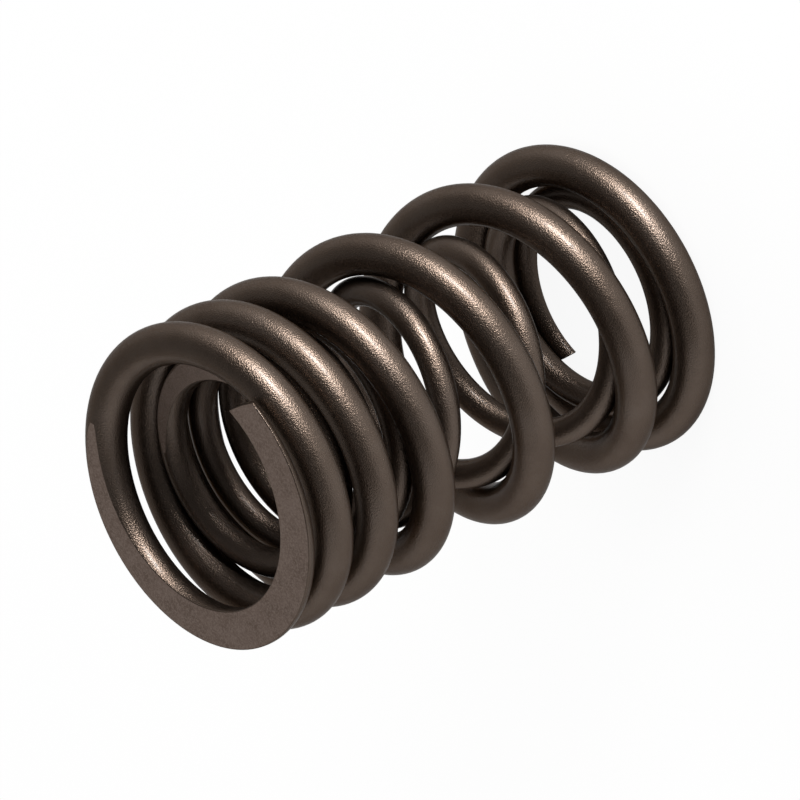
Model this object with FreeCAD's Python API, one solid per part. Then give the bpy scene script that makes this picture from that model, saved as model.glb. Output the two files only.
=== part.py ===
"""Dual valve spring: a heavy outer spring with a thinner spring, wound the other way, nested inside it.

Both stand on their ground lower ends on z = 0, with the common coil axis along +Z. The closely wound
end of each spring is at the top. Lengths are in millimetres, angles in degrees.

Each coil's centre line is worked out from a pitch law. The end coils are closed, so their pitch is
the wire's diameter and a hair more. Below the closed top come the close working coils, then the open
ones. The open pitch isn't set: it is whatever the free length needs.
"""
import FreeCAD
import Part
import math
import os
from FreeCAD import Vector

# Outer spring
OUTER_WIRE = 4.55               # wire diameter
OUTER_COIL_OD = 36.0            # over the coils
OUTER_LENGTH = 60.9             # free length, over the ground ends
OUTER_TURNS = 6.5               # tip to tip
OUTER_START_ANGLE = 68.0        # direction of the top tip, from +X towards -Y
OUTER_TOP_TIP = 1.3             # thickness left at the tip of the ground top end
OUTER_BOTTOM_TIP = 2.4          # and at the tip of the ground bottom end
OUTER_TOP_CLOSED = 0.58         # closed turns at the top
OUTER_BOTTOM_CLOSED = 0.61      # and at the bottom
OUTER_CLOSE_PITCH = 6.6         # pitch of the close working coils
OUTER_OPEN_FROM = 2.4           # turns from the top tip to where the coils start to open
OUTER_OPEN_OVER = 1.3           # turns over which they open

# Inner spring
INNER_WIRE = 3.25
INNER_STEP = 6.5                # how far its top lies below the outer spring's top
INNER_TURNS = 7.45
INNER_START_ANGLE = 49.0
INNER_TOP_TIP = 2.2
INNER_BOTTOM_TIP = 1.4
INNER_TOP_CLOSED = 0.35
INNER_BOTTOM_CLOSED = 0.85
INNER_CLOSE_PITCH = 4.6
INNER_OPEN_FROM = 3.35
INNER_OPEN_OVER = 0.35

NEST_CLEARANCE = 0.15           # radial gap between the inner spring and the outer spring
CLOSED_GAP = 0.08               # gap that a closed end coil keeps from the next coil
TOP_EASE = 0.2                  # turns over which the closed pitch opens to the close pitch
BOTTOM_EASE = 0.65              # turns over which the open pitch shuts to the closed pitch
STEPS_PER_TURN = 24

RIGHT_HAND = 1
LEFT_HAND = -1


def ease(x):
    """Goes smoothly from 0 at x = 0 to 1 at x = 1 and stays level outside."""
    x = min(max(x, 0.0), 1.0)
    return x * x * (3.0 - 2.0 * x)


def centre_depths(wire, length, turns, top_tip, bottom_tip, top_closed, bottom_closed, close_pitch,
                  open_from, open_over):
    """Depths of the wire's centre below the top face, at even steps from the top tip to the bottom tip."""
    closed_pitch = wire + CLOSED_GAP
    first = top_tip - wire / 2
    last = length - bottom_tip + wire / 2
    steps = round(turns * STEPS_PER_TURN)
    step = turns / steps
    pitches = []
    openings = []
    for number in range(steps):
        turn = (number + 0.5) * step
        working = ease((turn - top_closed) / TOP_EASE) * ease((turns - bottom_closed - turn) / BOTTOM_EASE)
        pitches.append(closed_pitch + (close_pitch - closed_pitch) * working)
        openings.append(working * ease((turn - open_from) / open_over))
    extra = ((last - first) / step - sum(pitches)) / sum(openings)
    depths = [first]
    for pitch, opening in zip(pitches, openings):
        depths.append(depths[-1] + (pitch + extra * opening) * step)
    return depths


def coil_spring(wire, coil_od, length, turns, depths, start_angle, hand):
    """Round wire swept along the centre line, then ground flat at both ends."""
    radius = (coil_od - wire) / 2
    points = []
    for number, depth in enumerate(depths):
        angle = -math.radians(start_angle + hand * 360.0 * turns * number / (len(depths) - 1))
        points.append(Vector(radius * math.cos(angle), radius * math.sin(angle), length - depth))
    centre_line = Part.BSplineCurve()
    centre_line.interpolate(Points=points)
    spine = Part.Wire(centre_line.toShape())
    start = centre_line.tangent(centre_line.FirstParameter)[0]
    section = Part.Wire(Part.makeCircle(wire / 2, points[0], start))
    coil = spine.makePipeShell([section], True, True)
    between_wheels = Part.makeCylinder(coil_od, length)
    return coil.common(between_wheels)


outer_depths = centre_depths(
    OUTER_WIRE, OUTER_LENGTH, OUTER_TURNS, OUTER_TOP_TIP, OUTER_BOTTOM_TIP, OUTER_TOP_CLOSED,
    OUTER_BOTTOM_CLOSED, OUTER_CLOSE_PITCH, OUTER_OPEN_FROM, OUTER_OPEN_OVER)
outer_spring = coil_spring(
    OUTER_WIRE, OUTER_COIL_OD, OUTER_LENGTH, OUTER_TURNS, outer_depths, OUTER_START_ANGLE, RIGHT_HAND)

inner_coil_od = OUTER_COIL_OD - 2 * OUTER_WIRE - 2 * NEST_CLEARANCE
inner_length = OUTER_LENGTH - INNER_STEP
inner_depths = centre_depths(
    INNER_WIRE, inner_length, INNER_TURNS, INNER_TOP_TIP, INNER_BOTTOM_TIP, INNER_TOP_CLOSED,
    INNER_BOTTOM_CLOSED, INNER_CLOSE_PITCH, INNER_OPEN_FROM, INNER_OPEN_OVER)
inner_spring = coil_spring(
    INNER_WIRE, inner_coil_od, inner_length, INNER_TURNS, inner_depths, INNER_START_ANGLE, LEFT_HAND)

os.makedirs("parts", exist_ok=True)
outer_spring.exportStep("parts/outer_spring.step")
inner_spring.exportStep("parts/inner_spring.step")
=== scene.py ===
# %% [markdown]
# # A dual valve spring: wound, drawn out, ground and peened
#
# The real object is two bent wires. A heavy outer spring and a thinner inner spring, wound the other way,
# sit one in the other. This lesson makes each one much as a workshop would: round wire is wound into a
# coil, the coil is drawn out to its pitch, both ends are ground flat, the corners are rounded, and the
# steel gets its peened finish. Then come the floor, the lamps and the camera.

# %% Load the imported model
import math

import bpy
import numpy as np
from mathutils import Matrix, Vector


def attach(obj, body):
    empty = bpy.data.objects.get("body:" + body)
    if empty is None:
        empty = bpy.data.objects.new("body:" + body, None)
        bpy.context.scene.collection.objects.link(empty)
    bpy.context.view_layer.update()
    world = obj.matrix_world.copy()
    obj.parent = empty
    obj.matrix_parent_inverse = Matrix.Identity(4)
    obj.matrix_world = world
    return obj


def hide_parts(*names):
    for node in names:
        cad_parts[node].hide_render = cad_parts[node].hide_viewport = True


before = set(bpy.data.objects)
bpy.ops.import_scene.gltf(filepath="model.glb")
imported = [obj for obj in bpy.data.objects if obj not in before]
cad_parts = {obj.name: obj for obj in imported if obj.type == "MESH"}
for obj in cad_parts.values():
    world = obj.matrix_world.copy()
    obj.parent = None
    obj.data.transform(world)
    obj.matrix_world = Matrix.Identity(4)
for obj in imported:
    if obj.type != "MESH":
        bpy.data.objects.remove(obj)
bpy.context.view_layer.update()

# %% [markdown]
# ## The sizes
#
# The solids have the same sizes, so the dressed springs lie where the solids are, but for the rounded
# corners and the sheared tips. The 36 mm over the outer coils is a guess, because nothing in the photograph
# shows the scale. The other sizes follow the photograph's proportions. A spring maker gives the wire, the
# diameter over the coils, the free length and the number of turns. What is left is how the pitch changes
# from coil to coil. Pairs hold the value at the top end first, then at the bottom end.

# %% Sizes of both springs, in millimetres and degrees
MM = 0.001
OUTER = {"wire": 4.55, "coil_od": 36.0, "length": 60.9, "turns": 6.5, "start_angle": 68.0, "hand": 1,
         "tips": (1.3, 2.4), "closed": (0.58, 0.61), "close_pitch": 6.6, "open_from": 2.4, "open_over": 1.3}
INNER = {"wire": 3.25, "coil_od": 26.6, "length": 54.4, "turns": 7.45, "start_angle": 49.0, "hand": -1,
         "tips": (2.2, 1.4), "closed": (0.35, 0.85), "close_pitch": 4.6, "open_from": 3.35, "open_over": 0.35}
CLOSED_GAP, EASES = 0.08, (0.2, 0.65)
CORNER_RADII = {"outer": 0.12, "inner": 0.10}
SHEAR_ANGLE, SHEAR_RINGS = 4.2, 9.0
print("the inner spring's top lies", round(OUTER["length"] - INNER["length"], 2), "mm below the outer one's")

# %% [markdown]
# ## The pitch law
#
# This spring is wound close at one end and open at the other, so that its coils shut one after another
# and it rings less. The end coils are closed: their pitch is the wire and a hair more. Then come a few
# close coils, and after them the open ones. Adding up the pitch gives how deep below the top face each bit
# of wire lies. The open pitch isn't given: it is whatever the free length needs.

# %% How deep the wire lies, at even steps along the coil
def ease(x):
    x = np.clip(x, 0.0, 1.0)
    return x * x * (3.0 - 2.0 * x)


def centre_depths(spring, steps):
    turns, step = spring["turns"], spring["turns"] / steps
    turn = (np.arange(steps) + 0.5) * step
    closed_pitch = spring["wire"] + CLOSED_GAP
    top_closed, bottom_closed = spring["closed"]
    working = ease((turn - top_closed) / EASES[0]) * ease((turns - bottom_closed - turn) / EASES[1])
    pitch = closed_pitch + (spring["close_pitch"] - closed_pitch) * working
    opening = working * ease((turn - spring["open_from"]) / spring["open_over"])
    top_tip, bottom_tip = spring["tips"]
    first, last = top_tip - spring["wire"] / 2, spring["length"] - bottom_tip + spring["wire"] / 2
    extra = ((last - first) / step - pitch.sum()) / opening.sum()
    print("open pitch", round(float((pitch + extra * opening).max()), 2), "mm")
    return first + np.concatenate([[0.0], np.cumsum(pitch + extra * opening) * step])

# %% [markdown]
# ## Winding the wire
#
# The Screw modifier turns an outline round an axis, so it stands in for the coiling machine. The outline is
# the round section of the wire, standing at the coil's radius. The coil is wound flat, with every turn in
# the same place, because the modifier has only one pitch.

# %% Wind a flat coil
def deselect_all():
    if bpy.context.object and bpy.context.object.mode == "EDIT":
        bpy.ops.object.mode_set(mode="OBJECT")
    bpy.ops.object.select_all(action="DESELECT")


def wind(name, spring, around, per_turn):
    deselect_all()
    radius = (spring["coil_od"] - spring["wire"]) / 2 * MM
    bpy.ops.mesh.primitive_circle_add(vertices=around, radius=spring["wire"] / 2 * MM, fill_type="NOTHING",
                                      location=(radius, 0, 0), rotation=(math.pi / 2, 0, 0))
    piece = bpy.context.object
    piece.name = piece.data.name = name
    bpy.ops.object.transform_apply(location=True, rotation=True, scale=True)
    screw = piece.modifiers.new("turns", "SCREW")
    screw.axis, screw.screw_offset, screw.iterations = "Z", 0.0, 1
    screw.angle = 2 * math.pi * spring["turns"]
    screw.steps = screw.render_steps = round(spring["turns"] * per_turn)
    bpy.ops.object.modifier_apply(modifier=screw.name)
    print(name, "is wound with", len(piece.data.vertices) // around, "rings of", around, "points")
    return piece

# %% [markdown]
# ## The ground section
#
# A valve spring has to stand square, so its ends are ground flat, here over 0.3 to 0.7 of a turn. In the
# section of the wire the grinding wheel is a straight line that cuts off the top of the circle. The corners
# it leaves are rounded a little, and that thin line catches the light. Each ring keeps its number of points:
# some lie on the flat, some on the two corners and the rest on the round. A spread of 0 marks such a ring.
# Where the flat runs out, the spread starts just above 0, and the points are even again some rings on.

# %% The half outline of every ring, from the middle of its flat round to the far side of the wire
FLAT_POINTS, CORNER_POINTS = 4, 3
RUN_OUT_RINGS, LEAST_SPREAD = 14.0, 0.004


def ground_outline(index, half, radius, cut, corner_radius, spread):
    cut = np.minimum(cut, radius)[:, None]
    reach = np.sqrt(np.maximum((radius - corner_radius) ** 2 - (cut - corner_radius) ** 2, 0.0))
    corner = np.arctan2(reach, cut - corner_radius)
    start_of_round = FLAT_POINTS + CORNER_POINTS
    on_corner = corner * (index - FLAT_POINTS) / CORNER_POINTS
    squeezed = corner + (np.pi - corner) * np.maximum(index - start_of_round, 0) / (half - start_of_round)
    on_round = squeezed + (np.pi * index / half - squeezed) * spread[:, None]
    is_ground = spread[:, None] == 0
    flat, bent = (index <= FLAT_POINTS) & is_ground, (index <= start_of_round) & is_ground
    out = np.where(flat, reach * index / FLAT_POINTS,
                   np.where(bent, reach + corner_radius * np.sin(on_corner), radius * np.sin(on_round)))
    up = np.where(flat, cut,
                  np.where(bent, cut + corner_radius * (np.cos(on_corner) - 1), radius * np.cos(on_round)))
    return out, up

# %% [markdown]
# ## Drawing the coil out
#
# Each ring of points is moved to its depth, and leaned until it is square to the wire, so that the wire
# stays round. The rings near the tips take the ground outline. The wire was sheared off askew: the
# photograph shows the inner corner of the outer spring's top tip sticking out. SHEAR_ANGLE is how far the
# sides of the wire turn about the spring's axis there, and puts the end face 27 to 28 degrees off square.
# The other three tips are turned the same way round the axis, which is a guess. It makes the inner corner
# stick out at the inner spring's bottom tip too, and the outer corner at the other two.

# %% Draw out, grind and shear
def draw_out(piece, spring, around, corner_radius):
    wire, radius, turns = spring["wire"], (spring["coil_od"] - spring["wire"]) / 2, spring["turns"]
    rings = np.empty(len(piece.data.vertices) * 3)
    piece.data.vertices.foreach_get("co", rings)
    rings = rings.reshape(-1, around, 3) / MM
    aside = np.arctan2(np.hypot(rings[0, :, 0], rings[0, :, 1]) - radius, rings[0, :, 2])
    number = np.round(aside / (2 * np.pi / around))
    side, index, half, count = np.sign(number), np.abs(number), around // 2, len(rings)

    ring = np.arange(count)
    angle = -np.radians(spring["start_angle"] + spring["hand"] * 360.0 * turns * ring / (count - 1))
    out = np.stack([np.cos(angle), np.sin(angle), np.zeros(count)], axis=1)
    centre = out * radius
    centre[:, 2] = spring["length"] - centre_depths(spring, count - 1)
    along = np.gradient(centre, axis=0)
    along /= np.linalg.norm(along, axis=1)[:, None]
    up = np.array([0.0, 0.0, 1.0]) - along * along[:, 2:]
    up /= np.linalg.norm(up, axis=1)[:, None]

    upper = ring < count // 2
    cut = np.where(upper, spring["length"] - centre[:, 2], centre[:, 2]) / up[:, 2]
    from_tip = np.where(upper, ring, count - 1 - ring)
    spread = np.where(cut < wire / 2, 0.0, 1.0)
    for end in (upper, ~upper):
        run_out = from_tip[end & (spread == 0)].max()
        print(piece.name, "flat runs out after", round(run_out / (count - 1) * turns, 2), "turns")
        spread[end] *= np.maximum(ease((from_tip[end] - run_out) / RUN_OUT_RINGS), LEAST_SPREAD)
    kind = np.where(upper[:, None], index, half - index)
    outward, upward = ground_outline(kind, half, wire / 2, cut, corner_radius, spread)
    outward, upward = outward * side, np.where(upper[:, None], upward, -upward)
    drawn = centre[:, None] + outward[..., None] * out[:, None] + upward[..., None] * up[:, None]

    askew = -np.radians(SHEAR_ANGLE) * outward / (wire / 2) * (1 - ease(from_tip / SHEAR_RINGS))[:, None]
    x, y = drawn[..., 0].copy(), drawn[..., 1].copy()
    drawn[..., 0] = x * np.cos(askew) - y * np.sin(askew)
    drawn[..., 1] = x * np.sin(askew) + y * np.cos(askew)
    piece.data.vertices.foreach_set("co", drawn.ravel() * MM)
    length = np.linalg.norm(np.diff(centre, axis=0), axis=1).sum()
    print(piece.name, "wire length", round(length, 1), "mm")
    return piece

# %% [markdown]
# ## Closing the tips
#
# The two cut ends are still open. Each is filled as a hole and inset a little, which breaks its edge. Then
# the shading is set: the wire is smooth, the flats are truly flat, and the line between them stays crisp.

# %% Close the tips and set what is smooth
LEVEL, ON_THE_PLANE = 0.999, 2e-6
TIP_INSET, TIP_RAISE, SMOOTH_ANGLE = 0.09, 0.05, 40


def flat_faces(piece, length):
    return {face.index for face in piece.data.polygons
            if abs(face.normal.z) > LEVEL
            and min(abs(face.center.z), abs(face.center.z - length * MM)) < ON_THE_PLANE}


def close_tips(piece, length):
    deselect_all()
    piece.select_set(True)
    bpy.context.view_layer.objects.active = piece
    bpy.ops.object.mode_set(mode="EDIT")
    bpy.ops.mesh.select_all(action="SELECT")
    bpy.ops.mesh.fill_holes(sides=0)
    bpy.ops.mesh.select_all(action="SELECT")
    bpy.ops.mesh.normals_make_consistent(inside=False)
    bpy.ops.mesh.select_mode(type="FACE")
    bpy.ops.mesh.select_all(action="DESELECT")
    bpy.ops.mesh.select_face_by_sides(number=4, type="GREATER")
    bpy.ops.mesh.inset(thickness=TIP_INSET * MM, depth=TIP_RAISE * MM)
    bpy.ops.object.mode_set(mode="OBJECT")
    bpy.ops.object.shade_smooth_by_angle(angle=math.radians(SMOOTH_ANGLE))
    flat = flat_faces(piece, length)
    edge_of = {}
    for face in piece.data.polygons:
        for key in face.edge_keys:
            edge_of.setdefault(key, set()).add(face.index in flat)
    rims = {key for key, sides in edge_of.items() if len(sides) == 2}
    for edge in piece.data.edges:
        if edge.key in rims:
            edge.use_edge_sharp = True
    area = sum(piece.data.polygons[i].area for i in flat) / MM / MM
    print(piece.name, "has", len(flat), "flat faces,", round(area, 1), "mm2, and", len(rims), "rim edges")
    return piece

# %% [markdown]
# ## Both springs
#
# The thicker wire gets more points round its section and more rings to a turn, so that both coils look
# equally round. Each coil takes the place of its solid.

# %% Make both springs
OUTER_MESH, INNER_MESH = {"around": 48, "per_turn": 128}, {"around": 40, "per_turn": 112}


def make_spring(name, spring, mesh, corner_radius):
    piece = wind(name, spring, mesh["around"], mesh["per_turn"])
    return close_tips(draw_out(piece, spring, mesh["around"], corner_radius), spring["length"])


outer_coil = make_spring("outer_coil", OUTER, OUTER_MESH, CORNER_RADII["outer"])
inner_coil = make_spring("inner_coil", INNER, INNER_MESH, CORNER_RADII["inner"])
for coil, node in ((outer_coil, "outer_spring"), (inner_coil, "inner_spring")):
    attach(coil, "root")
    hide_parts(node)
    corners = [Vector(c) for c in coil.bound_box]
    print(coil.name, "from", [round(min(c[i] for c in corners) / MM, 2) for i in range(3)],
          "to", [round(max(c[i] for c in corners) / MM, 2) for i in range(3)])

# %% [markdown]
# ## Writing shader maths as Python
#
# A node tree is a formula, so it reads best as one. The class Sock wraps a socket, and plain operators on it
# add Math nodes. The class Shader adds any other node from its type, its settings and its sockets.

# %% A socket that does arithmetic
class Sock:
    def __init__(self, tree, socket):
        self.tree, self.socket = tree, socket

    def math(self, operation, *values):
        return Shader(self.tree).node("ShaderNodeMath", {"operation": operation}, dict(enumerate(values)))

    def __add__(self, other):
        return self.math("ADD", self, other)

    def __mul__(self, other):
        return self.math("MULTIPLY", self, other)

    def __sub__(self, other):
        return self.math("SUBTRACT", self, other)

    def __rsub__(self, other):
        return self.math("SUBTRACT", other, self)

    def __truediv__(self, other):
        return self.math("DIVIDE", self, other)

    def clamp(self, low=0.0, high=1.0):
        return self.math("MINIMUM", self.math("MAXIMUM", self, low), high)


class Shader:
    def __init__(self, tree):
        self.tree = tree

    def node(self, kind, settings=None, sockets=None, output=0):
        made = self.tree.nodes.new(kind)
        for key, value in (settings or {}).items():
            setattr(made, key, value)
        for key, value in (sockets or {}).items():
            if isinstance(value, Sock):
                self.tree.links.new(value.socket, made.inputs[key])
            else:
                made.inputs[key].default_value = value
        return Sock(self.tree, made.outputs[output]) if len(made.outputs) else None

    def noise(self, place, scale, detail, roughness):
        sockets = {"Vector": place, "Scale": scale, "Detail": detail, "Roughness": roughness}
        return self.node("ShaderNodeTexNoise", {}, sockets)

    def ramp(self, value, stops):
        made = self.tree.nodes.new("ShaderNodeValToRGB")
        elements = made.color_ramp.elements
        while len(elements) < len(stops):
            elements.new(1.0)
        for element, (place, colour) in zip(elements, stops):
            element.position, element.color = place, (*colour, 1.0)
        self.tree.links.new(value.socket, made.inputs[0])
        return Sock(self.tree, made.outputs[0])

    def mix(self, factor, a, b):
        settings = {"data_type": "RGBA", "clamp_factor": True}
        return self.node("ShaderNodeMix", settings, {0: factor, 6: a, 7: b}, 2)


def new_material(name):
    material = bpy.data.materials.new(name)
    material.use_nodes = True
    material.node_tree.nodes.clear()
    print("material", name)
    return material, Shader(material.node_tree)

# %% [markdown]
# ## Peened spring steel
#
# The wire is taken to be oil-tempered chrome-silicon steel, a usual one for valve springs. Its colour here, a
# dark bronze brown, was set by the photograph. Shot peening hammers such wire all over with dimples a
# fraction of a millimetre wide. It is a metal, so its colour is the colour of its reflections. The dimples
# break every highlight into fine grain. A thin clear coat stands for a trace of oil: it keeps the middle of
# a highlight pale. The tint holds the reflections at the edges down, because a peened surface doesn't turn
# into a mirror there.

# %% The wire's material
peened, s = new_material("peened_steel")
place = s.node("ShaderNodeTexCoord", output=3)
place_mm = s.node("ShaderNodeVectorMath", {"operation": "SCALE"}, {0: place, 3: 1000.0})
dimples = s.node("ShaderNodeTexVoronoi", {"feature": "F1"}, {"Vector": place_mm, "Scale": 6.0})
grain = s.noise(place_mm, 9.0, 2.0, 0.5)
cloud = s.noise(place_mm, 0.16, 4.0, 0.55)
smudge = s.noise(place_mm, 0.9, 3.0, 0.6)
BROWN_STOPS = [(0.32, (0.074, 0.052, 0.039)), (0.5, (0.088, 0.064, 0.049)), (0.7, (0.100, 0.075, 0.060))]
brown = s.ramp(cloud, BROWN_STOPS)
speck = ((grain - 0.5) * 2.2 + 0.5).clamp()
steel_colour = s.mix(speck * 0.35, brown, (0.150, 0.118, 0.098, 1.0))
relief = dimples * 0.7 + grain * 0.6
bump = s.node("ShaderNodeBump", {}, {"Strength": 1.0, "Distance": 0.000045, "Height": relief})
roughness = (smudge - 0.5) * 0.12 + (grain - 0.5) * 0.2 + 0.37
surface = s.node("ShaderNodeBsdfPrincipled", {}, {
    "Base Color": steel_colour, "Metallic": 1.0, "Roughness": roughness.clamp(0.2, 0.7), "Normal": bump,
    "Coat Weight": 0.2, "Coat Roughness": 0.22, "Specular Tint": (0.3, 0.29, 0.28, 1.0)})
s.node("ShaderNodeOutputMaterial", {}, {"Surface": surface})

# %% [markdown]
# ## Ground steel
#
# The end faces are rougher than the wire and lighter, so they show an even pinkish brown with sandy specks,
# and no clear reflection. The wheel leaves fine lines that run one way. Noise that is
# squeezed along one direction draws them.

# %% The ground faces' material
ground, s = new_material("ground_steel")
place = s.node("ShaderNodeTexCoord", output=3)
LINE_TURN, LINE_SCALES = (0.0, 0.0, 0.6), (9000.0, 420.0, 420.0)
lines_place = s.node("ShaderNodeMapping", {}, {"Vector": place, "Rotation": LINE_TURN, "Scale": LINE_SCALES})
lines = s.noise(lines_place, 1.0, 3.0, 0.6)
place_mm = s.node("ShaderNodeVectorMath", {"operation": "SCALE"}, {0: place, 3: 1000.0})
mottle = s.noise(place_mm, 0.5, 5.0, 0.65)
fine = s.noise(place_mm, 5.0, 3.0, 0.75)
FACE_STOPS = [(0.35, (0.212, 0.158, 0.130)), (0.5, (0.248, 0.186, 0.154)), (0.65, (0.285, 0.218, 0.184))]
face_colour = s.ramp(mottle, FACE_STOPS)
sandy = s.mix(((fine - 0.5) * 5.0 + 0.4).clamp(), face_colour, (0.370, 0.295, 0.255, 1.0))
relief = lines * 0.3 + fine * 0.9
bump = s.node("ShaderNodeBump", {}, {"Strength": 0.35, "Distance": 0.00003, "Height": relief})
roughness = (fine - 0.5) * 0.2 + 0.6
surface = s.node("ShaderNodeBsdfPrincipled", {}, {
    "Base Color": sandy, "Metallic": 1.0, "Roughness": roughness.clamp(0.3, 0.8), "Normal": bump,
    "Specular Tint": (0.22, 0.21, 0.2, 1.0)})
s.node("ShaderNodeOutputMaterial", {}, {"Surface": surface})

# %% [markdown]
# ## Which face gets which steel
#
# Only what the wheel has touched is ground steel: the level faces in the two end planes. All the rest is
# peened. The face numbers are set after the materials are in, because clearing the slots resets them. The
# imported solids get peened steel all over.

# %% Put the steel on the springs
for coil, spring in ((outer_coil, OUTER), (inner_coil, INNER)):
    coil.data.materials.clear()
    coil.data.materials.append(peened)
    coil.data.materials.append(ground)
    flat = flat_faces(coil, spring["length"])
    for face in coil.data.polygons:
        face.material_index = 1 if face.index in flat else 0
    print(coil.name, "has", len(flat), "ground and", len(coil.data.polygons) - len(flat), "peened faces")
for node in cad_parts.values():
    node.data.materials.clear()
    node.data.materials.append(peened)

# %% [markdown]
# ## The floor
#
# The spring stands on a plain white floor. To the camera the floor is mostly glow, with a little light
# scattered from the lamps, so it comes out white and the spring keeps a soft shadow. To the steel's
# reflections it glows about half as much, so that it doesn't flood the coils from below.

# %% A white floor
deselect_all()
FLOOR_RADIUS = 6.0
bpy.ops.mesh.primitive_circle_add(vertices=96, radius=FLOOR_RADIUS, fill_type="NGON", location=(0, 0, 0))
floor = bpy.context.object
floor.name = "floor"
paper, s = new_material("white_floor")
rays = s.tree.nodes.new("ShaderNodeLightPath")
seen = Sock(s.tree, rays.outputs["Is Camera Ray"])
mirrored = Sock(s.tree, rays.outputs["Is Glossy Ray"])
through = Sock(s.tree, rays.outputs["Is Transmission Ray"])
FLOOR_GLOW, MIRRORED_GLOW = 0.92, 0.42
glow = (seen * FLOOR_GLOW + mirrored * MIRRORED_GLOW + through * FLOOR_GLOW).clamp(0.0, FLOOR_GLOW)
scatter = s.node("ShaderNodeBsdfDiffuse", {}, {"Color": (0.82, 0.82, 0.82, 1.0)})
light = s.node("ShaderNodeEmission", {}, {"Color": (1.0, 1.0, 1.0, 1.0), "Strength": 1.0})
white = s.node("ShaderNodeMixShader", {}, {0: glow, 1: scatter, 2: light})
s.node("ShaderNodeOutputMaterial", {}, {"Surface": white})
floor.data.materials.append(paper)
print("floor radius", FLOOR_RADIUS, "m")

# %% [markdown]
# ## The light
#
# The world is white to the camera and to the steel, and dimmer as a light. One soft box stands low beside
# the spring and draws the bright streak along the upper right of every coil. A wide lamp overhead lights
# the floor, and the steel doesn't mirror it.

# %% World and lamps
world = bpy.data.worlds.new("studio")
bpy.context.scene.world = world
world.use_nodes = True
world.node_tree.nodes.clear()
w = Shader(world.node_tree)
rays = w.tree.nodes.new("ShaderNodeLightPath")
bare = (Sock(w.tree, rays.outputs["Is Camera Ray"]) + Sock(w.tree, rays.outputs["Is Glossy Ray"])
        + Sock(w.tree, rays.outputs["Is Transmission Ray"])).clamp()
sky = w.node("ShaderNodeBackground", {}, {"Color": (1.0, 1.0, 1.0, 1.0), "Strength": bare * 0.5 + 0.5})
w.node("ShaderNodeOutputWorld", {}, {"Surface": sky})


def soft_box(name, azimuth, elevation, distance, width, height, power, aim=(0.0, 0.0, 0.03)):
    a, e = math.radians(azimuth), math.radians(elevation)
    back = Vector((math.sin(a) * math.cos(e), -math.cos(a) * math.cos(e), math.sin(e)))
    lamp = bpy.data.lights.new(name, "AREA")
    lamp.shape, lamp.size, lamp.size_y, lamp.energy = "RECTANGLE", width, height, power
    box = bpy.data.objects.new(name, lamp)
    box.location = Vector(aim) + back * distance
    box.rotation_euler = back.to_track_quat("Z", "Y").to_euler()
    bpy.context.scene.collection.objects.link(box)
    print(name, "stands at", [round(c, 2) for c in box.location], "m and gives", power, "W")
    return box


soft_box("key_box", 38, 5.5, 0.8, 0.3, 0.2, 12.3)
soft_box("top_box", 120, 75, 1.4, 1.2, 1.2, 12.0).visible_glossy = False

# %% [markdown]
# ## A dark card
#
# Bare steel mostly mirrors the room, so in a white room it turns flat and pale. A photographer hangs dark
# cards above it, and the middle of every coil goes dark. The card is a piece of a large sphere that leaves
# the -X side open. It is lightest low down and towards the back, and only the reflections see it. Its place
# and tones were chosen so that the coils come near the photograph's.

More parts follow.
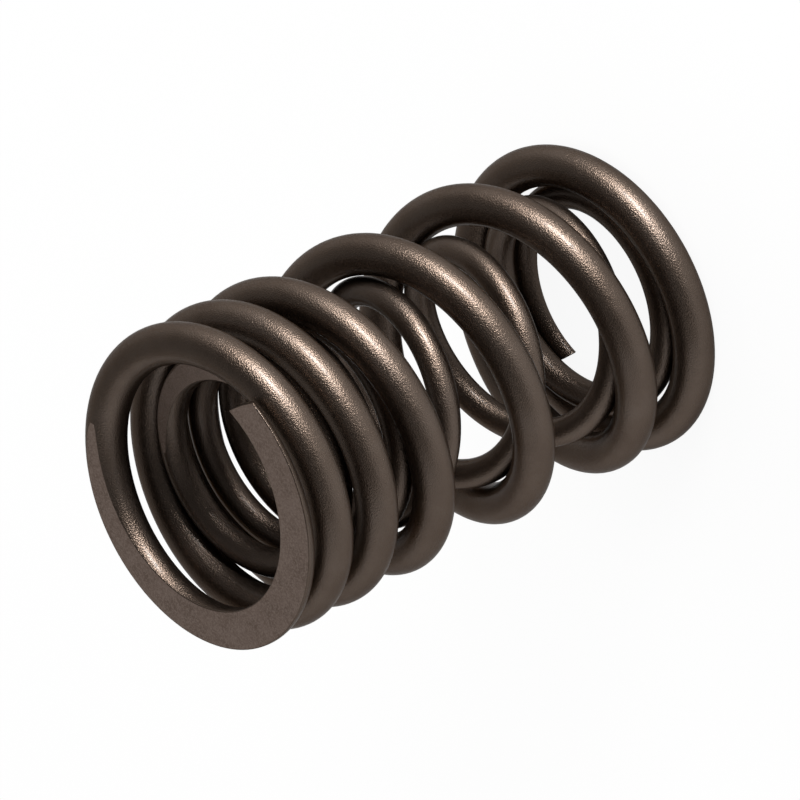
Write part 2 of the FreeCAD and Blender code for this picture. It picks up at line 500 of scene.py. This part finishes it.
# %% Hang the dark card
deselect_all()
CARD_RADIUS = 2.2
ABOVE_THE_FLOOR = ((0, 0, 0.3), (0, 0, 1))
RIGHT_OF_THE_OPENING = ((-1.2, 0.43, 0), (0.94, -0.34, 0))
bpy.ops.mesh.primitive_uv_sphere_add(segments=96, ring_count=48, radius=CARD_RADIUS, location=(0, 0, 0))
card = bpy.context.object
card.name = "dark_card"
bpy.ops.object.mode_set(mode="EDIT")
for point, facing in (ABOVE_THE_FLOOR, RIGHT_OF_THE_OPENING):
    bpy.ops.mesh.select_all(action="SELECT")
    bpy.ops.mesh.bisect(plane_co=point, plane_no=facing, clear_inner=True)
bpy.ops.mesh.select_all(action="SELECT")
bpy.ops.mesh.flip_normals()
bpy.ops.object.mode_set(mode="OBJECT")
felt, s = new_material("dark_felt")
place = s.node("ShaderNodeTexCoord", output=3)
height, behind = (s.node("ShaderNodeSeparateXYZ", {}, {0: place}, output) / CARD_RADIUS for output in (2, 1))
LIGHTEST, DARKEST, LOWEST, FALL = 0.75, 0.13, 0.13, 1.9
LIGHTER_BEHIND, FARTHEST_BEHIND = 0.36, 0.8
tone = ((LIGHTEST - (height - LOWEST) * FALL).clamp(DARKEST, LIGHTEST)
        + behind.clamp(0.0, FARTHEST_BEHIND) * LIGHTER_BEHIND)
shade = s.ramp(tone, [(0.0, (0.0, 0.0, 0.0)), (1.0, (1.0, 1.0, 1.0))])
s.node("ShaderNodeOutputMaterial", {}, {"Surface": s.node("ShaderNodeEmission", {}, {"Color": shade, "Strength": 1.0})})
card.data.materials.append(felt)
card.visible_camera = card.visible_diffuse = card.visible_shadow = card.visible_transmission = False
print("dark card of", len(card.data.polygons), "faces,", CARD_RADIUS, "m away")

# %% [markdown]
# ## The camera
#
# The photograph shows the spring lying down. Here it stands, so the camera looks down at its closely wound
# end from 36 degrees above the floor, and is turned so that the axis runs from the upper right to the lower
# left. A long lens from well over a metre away gives the nearly parallel view.

# %% The camera at the photograph's angle
FOCAL_LENGTH, SENSOR_WIDTH, NEAREST, FARTHEST = 636.409, 36.0, 0.05, 50.0
CAMERA_PLACE = (-0.000874, -1.218961, 0.932120)
CAMERA_RIGHT = Vector((-0.440657, -0.533641, -0.721837))
CAMERA_UP = Vector((0.897675, -0.261957, -0.354340))
CAMERA_BACK = Vector((0.0, -0.804118, 0.594470))

lens = bpy.data.cameras.new("camera")
lens.lens, lens.sensor_width, lens.clip_start, lens.clip_end = FOCAL_LENGTH, SENSOR_WIDTH, NEAREST, FARTHEST
camera = bpy.data.objects.new("camera", lens)
bpy.context.scene.collection.objects.link(camera)
turn = Matrix((CAMERA_RIGHT, CAMERA_UP, CAMERA_BACK)).transposed().to_4x4()
camera.matrix_world = Matrix.Translation(CAMERA_PLACE) @ turn
bpy.context.scene.camera = camera
bpy.context.scene.view_settings.view_transform = "Standard"
print("camera", round(Vector(CAMERA_PLACE).length, 2), "m from the foot of the axis")
